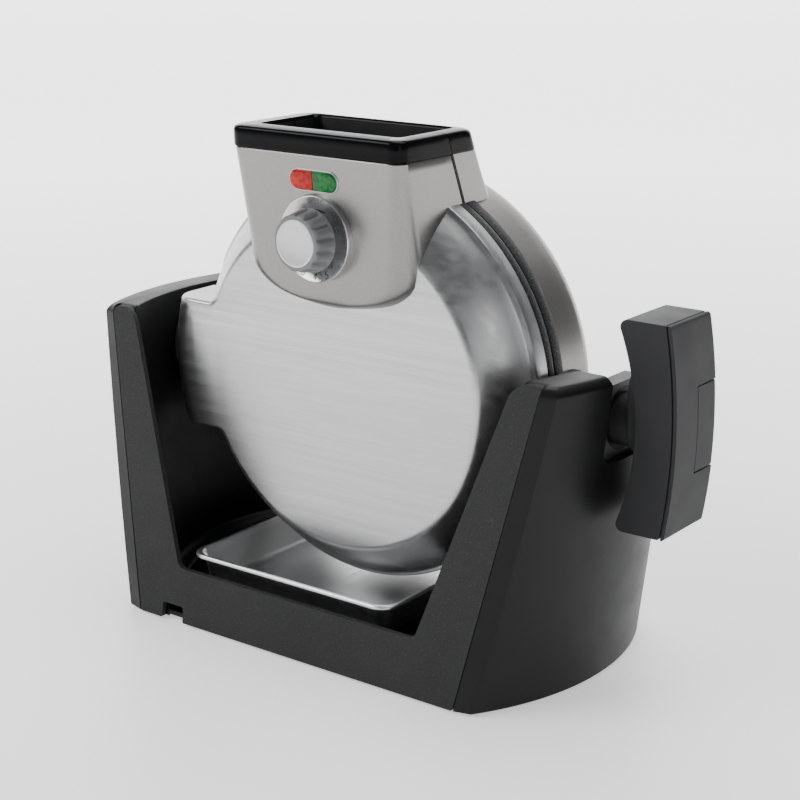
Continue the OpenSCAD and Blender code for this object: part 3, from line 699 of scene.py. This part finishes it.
def dial_ring():
    """Bright dial: a short drum with a dished face, let into the leaning panel."""
    r = 23.8
    profile = [(5.6, -3.4), (r - 0.3, -3.6), (r, -3.3), (r, 4.7), (r - 0.12, 5.1), (r - 0.4, 5.4),
               (r - 0.75, 5.35), (r - 1.1, dish_height(r - 1.1)), (20.0, dish_height(20.0)),
               (15.5, 1.8), (5.6, 1.8)]
    bm = lathe(profile, 160)
    on_dial(bm)
    obj = new_object("dial_face_ring", bm, DIAL, 30)
    return keep(obj, "lid", "chrome_trim", "dial_plate")


def knob_grip():
    """Fluted, tapering grip on a narrow neck, with a disc let into its front."""
    lobes, steps = 14, 14 * 12
    # height above the dial's plane, radius, how far the flutes are cut in
    levels = [(2.2, 11.5, 0), (7.4, 11.5, 0), (7.6, 16.9, 0), (7.9, 17.3, 0), (8.6, 17.4, 0.1),
              (9.2, 17.3, 0.5), (10.0, 17.2, 1), (16.2, 16.1, 1), (18.4, 15.8, 0.85), (19.5, 15.3, 0.5),
              (20.2, 14.6, 0.15), (20.45, 13.8, 0), (20.45, 13.2, 0)]
    rings = []
    for h, radius, depth in levels:
        ring = []
        for i in range(steps):
            a = 2 * math.pi * i / steps
            wave = 0.5 + 0.5 * math.cos(a * lobes)
            dip = 1.7 * depth * (1 - wave) ** 2.2
            ring.append(((radius - dip) * math.cos(a), (radius - dip) * math.sin(a), h))
        rings.append(ring)
    bm = loft(rings)
    on_dial(bm)
    keep(new_object("knob_grip", bm, KNOB_GREY, 40), "knob", "knob_grey", "knob")
    profile = [(0.01, 17.6), (13.0, 17.6), (13.0, 20.2), (12.7, 20.8), (12.1, 21.1), (11.5, 21.05),
               (11.0, 20.8), (0.01, 21.1)]
    bm = lathe(profile, 96)
    on_dial(bm)
    keep(new_object("knob_cap_disc", bm, KNOB_SILVER, 35), "knob", "knob_silver", "knob_cap")


def lens(name, node, side, material, slot):
    """Half of the pill-shaped lamp window, slightly domed."""
    r = 5.35
    outline = [(0.12, -r)] + [(10.5 + x, y) for x, y in arc(0, 0, r, -90, 90, 20)] + [(0.12, r)]
    if side < 0:
        outline = [(-x, y) for x, y in reversed(outline)]
    rings = []
    for h, scale in ((-1.5, 1.0), (1.2, 1.0), (1.7, 0.95), (1.95, 0.85)):
        cx = side * 7.0
        rings.append([(cx + (x - cx) * scale, y * scale, h) for x, y in outline])
    bm = loft(rings)
    on_panel(bm, 0, LAMP_Z)
    return keep(new_object(name, bm, material, 30), "lid", slot, node)


def lamp_rim():
    """Thin satin rim round the lamp window."""

    def pill(r, h):
        right = [(10.5 + x, y, h) for x, y in arc(0, 0, r, -90, 90, 20)]
        return right + [(-10.5 + x, y, h) for x, y in arc(0, 0, r, 90, 270, 20)]

    section = ((5.4, 0.0), (5.4, 0.5), (5.6, 0.75), (5.85, 0.75), (6.1, 0.5), (6.2, 0.0))
    bm = loft([pill(r, h) for r, h in section], closed=True)
    on_panel(bm, 0, LAMP_Z)
    return keep(new_object("lamp_rim", bm, KNOB_SILVER, 40), "lid", "chrome_trim", "lens_bezel")


DIGITS = {
    "1": [(0.4, 3.2), (1, 4), (1, 0)],
    "2": [(0, 3.3), (0.6, 4), (1.5, 4), (2, 3.3), (2, 2.6), (0, 0), (2.1, 0)],
    "3": [(0, 4), (2, 4), (0.9, 2.4), (1.6, 2.3), (2, 1.6), (2, 0.7), (1.4, 0), (0.5, 0), (0, 0.5)],
    "4": [(1.5, 0), (1.5, 4), (0, 1.2), (2.2, 1.2)],
    "5": [(1.9, 4), (0.2, 4), (0.1, 2.3), (1.2, 2.5), (2, 1.8), (2, 0.8), (1.4, 0), (0.5, 0), (0, 0.5)],
}


def dial_marks():
    """Setting numbers 1 to 5, printed on the dial's sloping face with their feet outwards."""
    bm = bmesh.new()
    for index, digit in enumerate("12345"):
        middle = math.radians(-159 + 23 * index)
        radial = Vector((math.cos(middle), math.sin(middle), 0))
        across = Vector((-math.sin(middle), math.cos(middle), 0))
        points = [Vector(p) for p in DIGITS[digit]]
        for start, end in zip(points, points[1:]):
            side = (end - start).orthogonal().normalized() * 0.24
            corners = [start + side, end + side, end - side, start - side]
            quad = []
            for u, v in corners:
                flat = radial * (22.2 - v * 0.9) + across * (u - 1) * 0.95
                quad.append(bm.verts.new(flat + Vector((0, 0, dish_height(flat.length) + 0.06))))
            bm.faces.new(quad)
    on_dial(bm)
    return keep(new_object("dial_marks", bm, SATIN_BLACK), "lid", "satin_black")


# ---------------------------------------------------------------- the base

def top_roll(z, radius=5.0):
    """How far the base's front and back edges curve inwards near their tops."""
    past = max(0.0, z - (BASE_TOP - radius))
    return radius - math.sqrt(max(0.0, radius ** 2 - min(past, radius) ** 2))


def raked_panel(name, side, material, slot, nodes, notch):
    """Front or back panel: a U-shaped slab with rounded corners, leaning inwards with height."""
    top = BASE_TOP
    lean = PANEL_LEAN * top
    bottom = shell_low.z
    outline = [(-PANEL_W, bottom, 1.5)]
    if notch:
        outline += [(-96, bottom, 1), (-96, 11, 1.5), (-80, 11, 1.5), (-80, bottom, 1)]
    mouth = MOUTH_W + 0.3
    outline += [(PANEL_W, bottom, 1.5), (PANEL_W + lean, top - 0.4, 2.5), (mouth, top - 0.4, 12),
                (SILL_W, SILL_Z, 6), (-SILL_W, SILL_Z, 6), (-mouth, top - 0.4, 12),
                (-PANEL_W - lean, top - 0.4, 2.5)]
    flat = smooth_outline(outline, 8)
    bm = loft([[(x, depth, z) for x, z in flat] for depth in (0.0, 3.2)])
    for k in range(6):
        cut = (0, 0, top - 5.0 * (1 - k / 6))
        geom = bm.verts[:] + bm.edges[:] + bm.faces[:]
        bmesh.ops.bisect_plane(bm, geom=geom, plane_co=cut, plane_no=(0, 0, 1))
    for v in bm.verts:
        v.co.y = side * (FRONT_Y - RAKE * v.co.z - v.co.y - top_roll(v.co.z))
    obj = new_object(name, bm, material, 35)
    if side > 0:
        boolean_cut(obj, new_object("step", step_cutter(), material))
    bevel(obj, 0.9, 3, 40)
    keep(obj, "base", slot, *nodes)
    return obj


def side_band(name, side):
    """One upright: the bulging tapered band, chamfered at its front and back edges and along its top."""
    top = BASE_TOP
    levels = [(shell_low.z, 0.8), (shell_low.z + 0.8, 0)]
    levels += [(z, 0) for z in (30, 60, 90, 120, 150, top - 9, top - 7)]
    levels += [(top - 5.5, 0.05), (top - 4.4, 0.3), (top - 3.6, 0.8), (top - 2.6, 1.7), (top - 1.6, 2.8),
               (top - 0.8, 3.8), (top - 0.3, 4.7), (top, 6.0)]
    rings = []
    for z, inset in levels:
        r = BASE_R + FLARE * z - inset
        y1 = FRONT_Y - RAKE * z - max(0.3 * inset, top_roll(z))
        x1 = PANEL_W + 0.35 + PANEL_LEAN * z
        y2 = y1 - 2.6
        a2 = math.degrees(math.asin(y2 / r))
        well = 128.2 + 0.133 * (z - 22)
        y0 = y1 - 3.6
        a0 = math.degrees(math.asin(min(0.999, y0 / well)))
        outer = [(x1, -y1)] + arc(0, 0, r, -a2, a2, 60) + [(x1, y1), (x1, y0)]
        inner = arc(0, 0, well, a0, -a0, 60)
        outline = outer + inner + [(x1, -y0)]
        rings.append([(side * x, y, z) for x, y in outline])
    bm = loft(rings)
    obj = new_object(name, bm, SATIN_BLACK, 30)
    if side > 0:
        boolean_cut(obj, new_object("notch", notch_cutter(), SATIN_BLACK))
        boolean_cut(obj, new_object("step", step_cutter(), SATIN_BLACK))
    bevel(obj, 0.9, 3, 30)
    return obj


def notch_cutter():
    """The open-topped slot that the flip shaft passes through."""
    w, floor, over = NOTCH_W, AXIS_Z - NOTCH_DROP, BASE_TOP + 30
    outline = smooth_outline([(-w, floor, NOTCH_ROUND), (w, floor, 0), (w, over, 0), (-w, over, 0)], 8)
    return loft([[(x, y, z) for y, z in outline] for x in (156.0, 230.0)])


def step_cutter():
    """Room over the low rear half of the right upright, with a rounded inner corner."""
    y0, z0, y1, z1 = -NOTCH_W, REAR_TOP, 130.0, BASE_TOP + 30
    outline = smooth_outline([(y0, z0, 3), (y1, z0, 0), (y1, z1, 0), (y0, z1, 0)], 8)
    return loft([[(x, y, z) for y, z in outline] for x in (100.0, 230.0)])


def well_ledge(name, side):
    """The rounded ledge that runs round the foot of the well wall."""
    profile = [(126.8, 22.1), (126.8, 27.6), (125.4, 27.2), (124.2, 26.2), (123.4, 24.8), (121.8, 24.0),
               (117.2, 23.8), (116.2, 23.2), (115.8, 22.1)]
    reach = math.degrees(math.asin(79.0 / 126.8))
    start = -reach if side > 0 else 180 - reach
    obj = new_object(name, lathe(profile, 60, start, 2 * reach), LINER, 40)
    keep(obj, "base", "dark_liner")


def drip_tray():
    """Pressed tray: flared walls, soft floor corners and a rolled bead round the rim."""
    w, d = (tray_high.x - tray_low.x) / 2, (tray_high.y - tray_low.y) / 2
    middle = (tray_high.x + tray_low.x) / 2
    floor, rim = tray_low.z, tray_high.z

    def rect(inset, radius, z):
        pts = smooth_outline([(-w + inset, -d + inset, radius), (w - inset, -d + inset, radius),
                              (w - inset, d - inset, radius), (-w + inset, d - inset, radius)], 10)
        return [(middle + x, y, z) for x, y in pts]

    turns = [math.radians(a) for a in range(-60, 181, 20)]
    bead = [(1.6 - 1.55 * math.cos(a), rim - 1.6 + 1.55 * math.sin(a)) for a in turns]
    rings = [rect(11, 4, floor), rect(8.4, 5.5, floor + 0.3), rect(7.2, 6.5, floor + 1.3),
             rect(4.6, 8, rim - 5), rect(3.4, 9.5, rim - 3.2)]
    rings += [rect(inset, 11, z) for inset, z in bead]
    rings += [rect(4.2, 9, rim - 3.4), rect(5.4, 8, rim - 5), rect(8.2, 6.5, floor + 2.6),
              rect(9.6, 5.5, floor + 1.4), rect(12.2, 4, floor + 0.9)]
    obj = new_object("pressed_drip_tray", loft(rings), TRAY, 50)
    return keep(obj, "tray", "tray_aluminium", "drip_tray")


# ---------------------------------------------------------------- the flip handle

def bowed(x, bow, z):
    """X of an outward-bowing face at a height, from its x at the axis and the radius of its bow."""
    return x - bow + math.sqrt(bow * bow - z * z)


def bar(name, inner, outer, y0, y1, z0, z1, corners=(0.0, 0.0)):
    """Upright bar between two bowed faces, given as (x, bow); corners rounds its inner and outer ends."""
    outline = []
    for (x, bow), corner, turn in ((outer, corners[1], 1), (inner, corners[0], -1)):
        clear = corner * 1.3 + 1.0
        heights = [z0] + [z0 + clear + (z1 - z0 - 2 * clear) * k / 24 for k in range(25)] + [z1]
        points = [(bowed(x, bow, z), z, corner if z in (z0, z1) else 0) for z in heights]
        outline += points[::turn]
    outline = smooth_outline(outline, 6)
    rings = [[(x, y, AXIS_Z + z) for x, z in outline] for y in (y0, y1)]
    return new_object(name, loft(rings), HANDLE, 35)


def flip_handle():
    """The grip: a bowed core, a thin cap over its outside with a fine seam, and the release key."""
    low, high = HANDLE_LIFT - HANDLE_H, HANDLE_LIFT + HANDLE_H
    seam = HANDLE_R - 2.4
    key_x, key_y, key_z = HANDLE_R - 12.0, 3.0, 23.0
    inner, outer = (HANDLE_R - HANDLE_T, INNER_BOW), (HANDLE_R, OUTER_BOW)
    layers = (("grip_core", inner, (seam - 0.45, OUTER_BOW), (4.0, 1.5), 0, ("handle_inner",)),
              ("grip_cap", (seam + 0.45, OUTER_BOW), outer, (0.0, 1.9), 0.0, ("handle_outer",)),
              ("grip_seam", (seam - 3.0, OUTER_BOW), (seam + 0.8, OUTER_BOW), (0.0, 0.0), 1.1, ()))
    for name, near, far, corners, inset, nodes in layers:
        obj = bar(name, near, far, HANDLE_FRONT + inset, HANDLE_BACK - inset,
                  low + inset * 2, high - inset * 2, corners)
        pocket = bar("pocket", (key_x - 4.0, OUTER_BOW), (HANDLE_R + 3, OUTER_BOW),
                     key_y - 0.45, HANDLE_BACK + 2, -key_z - 0.45, key_z + 0.45)
        boolean_cut(obj, pocket)
        if nodes:
            bevel(obj, 0.8, 3, 35)
        keep(obj, "head", "handle_black", *nodes)
    key = bar("release_key", (key_x, OUTER_BOW), (HANDLE_R - 0.1, OUTER_BOW),
              key_y, HANDLE_BACK - 0.1, -key_z, key_z)
    bevel(key, 0.6, 3, 35)
    keep(key, "trigger", "handle_black", "flip_trigger")
    # upright oval collar between the shaft and the grip
    oval = arc(0, 19, 17, 0, 180, 32) + arc(0, 0, 17, 180, 360, 32)
    rings = [[(x, y, AXIS_Z + z) for y, z in oval] for x in (170.3, 178.0)]
    obj = new_object("grip_collar", loft(rings), HANDLE, 35)
    bevel(obj, 1.6, 4, 35)
    keep(obj, "head", "handle_black")


# ---------------------------------------------------------------- stage, light, camera

def stage():
    """A pale floor that curves up into a backdrop."""
    bm = bmesh.new()
    side, near, far, radius = 9000, -6000, 5200, 1600
    turns = [math.radians(a) for a in range(0, 91, 6)]
    path = [(near, 0)]
    path += [(far + radius * math.sin(a), radius * (1 - math.cos(a))) for a in turns]
    path += [(far + radius, 6000)]
    turn = Matrix.Rotation(math.radians(37), 3, "Z")
    rows = []
    for along, z in path:
        rows.append([bm.verts.new(turn @ Vector((x, along, z))) for x in (-side, side)])
    for low, high in zip(rows, rows[1:]):
        bm.faces.new((low[0], low[1], high[1], high[0]))
    f = Finish("pale_floor", (0.86, 0.86, 0.86), roughness=0.38)
    f.vary_colour(f.noise(3.0, 4.0), 0.3, 0.7, 0.985, 1.0)
    coords = f.node("ShaderNodeTexCoord")
    away = f.node("ShaderNodeVectorMath", operation="LENGTH")
    glow = f.node("ShaderNodeMix", data_type="RGBA")
    glow.inputs["A"].default_value = (0.7, 0.7, 0.7, 1)
    glow.inputs["B"].default_value = (2.1, 2.1, 2.1, 1)
    f.links.new(coords.outputs["Object"], away.inputs[0])
    f.links.new(f.ramp(away.outputs["Value"], 0.3, 1.7, 0, 1), glow.inputs["Factor"])
    f.links.new(glow.outputs["Result"], f.shader.inputs["Emission Color"])
    f.set("Emission Strength", 1.0)
    obj = new_object("floor", bm, f.mat)


def area_light(name, position, target, size, power):
    """A rectangular lamp that faces its target."""
    data = bpy.data.lights.new(name, "AREA")
    data.shape = "RECTANGLE"
    data.size, data.size_y = size
    data.energy = power
    obj = bpy.data.objects.new(name, data)
    obj.location = position
    obj.rotation_euler = (Vector(target) - Vector(position)).to_track_quat("-Z", "Y").to_euler()
    bpy.context.scene.collection.objects.link(obj)


def lights():
    """Soft studio light: a large key from the left, a weak fill, and a panel overhead."""
    world = bpy.data.worlds.new("studio")
    bpy.context.scene.world = world
    world.use_nodes = True
    world.node_tree.nodes["Background"].inputs["Color"].default_value = (0.93, 0.95, 1.0, 1)
    world.node_tree.nodes["Background"].inputs["Strength"].default_value = 0.16
    middle = (0, 0, 0.14)
    area_light("key", (-1.3, -1.5, 1.7), middle, (1.4, 1.0), 44)
    area_light("fill", (1.9, -1.0, 0.8), middle, (0.5, 1.4), 4)
    area_light("top", (0.1, 0.5, 1.9), middle, (1.6, 0.9), 24)


# where the view is taken from: degrees, then millimetres
CAMERA = {"azimuth": 36.98, "elevation": 16.19, "distance": 1049.6, "right": 10.51, "height": 130.81}
LENS_MM, SENSOR_MM = 82.0845, 36.0


def camera():
    """A view from the front right, a little above."""
    az, el = math.radians(CAMERA["azimuth"]), math.radians(CAMERA["elevation"])
    back = Vector((math.sin(az) * math.cos(el), -math.cos(az) * math.cos(el), math.sin(el)))
    right = Vector((math.cos(az), math.sin(az), 0))
    place = back * CAMERA["distance"] + right * CAMERA["right"] + Vector((0, 0, CAMERA["height"]))
    data = bpy.data.cameras.new("camera")
    data.sensor_width = SENSOR_MM
    data.lens = LENS_MM
    data.clip_start = 0.01
    obj = bpy.data.objects.new("camera", data)
    obj.location = place * MM
    obj.rotation_euler = (-back).to_track_quat("-Z", "Y").to_euler()
    bpy.context.scene.collection.objects.link(obj)
    bpy.context.scene.camera = obj


# ---------------------------------------------------------------- build

def carried_over():
    """Gives every CAD node the material of its slot."""
    slots = {part["node"]: part["material_slot"] for part in frame["record"]["subparts"]}
    for node, obj in frame["nodes"].items():
        obj.data.materials.clear()
        obj.data.materials.append(SLOT_MATERIALS[slots[node]])


def build():
    carried_over()
    lid_shell()
    rear_cover()
    dark_ring("lid_dark_ring", "front_ring", "lid")
    dark_ring("rear_dark_ring", "rear_ring", "head")
    front_box()
    rear_box()
    bezel_half("lid_bezel", "front_bezel", "lid", True)
    bezel_half("head_bezel", "rear_bezel", "head", False)
    dial_ring()
    dial_marks()
    knob_grip()
    lamp_rim()
    lens("red_window", "red_lens", -1, LENS_RED, "lens_red")
    lens("green_window", "green_lens", 1, LENS_GREEN, "lens_green")
    raked_panel("speckled_front", -1, SPECKLED, "speckled_black", ["front_panel"], True)
    raked_panel("back_panel", 1, SATIN_BLACK, "satin_black", [], False)
    right = side_band("right_band", 1)
    left = side_band("left_band", -1)
    keep(right, "base", "satin_black", "base_shell")
    keep(left, "base", "satin_black")
    well_ledge("right_well_ledge", 1)
    well_ledge("left_well_ledge", -1)
    drip_tray()
    flip_handle()
    for node in ("flip_shaft", "right_hub", "left_trunnion", "lid_latch", "cord_gland", "rubber_feet",
                 "base_cover", "well_liner", "rear_screws"):
        tidy_cad(node)
    stage()
    lights()
    camera()


build()
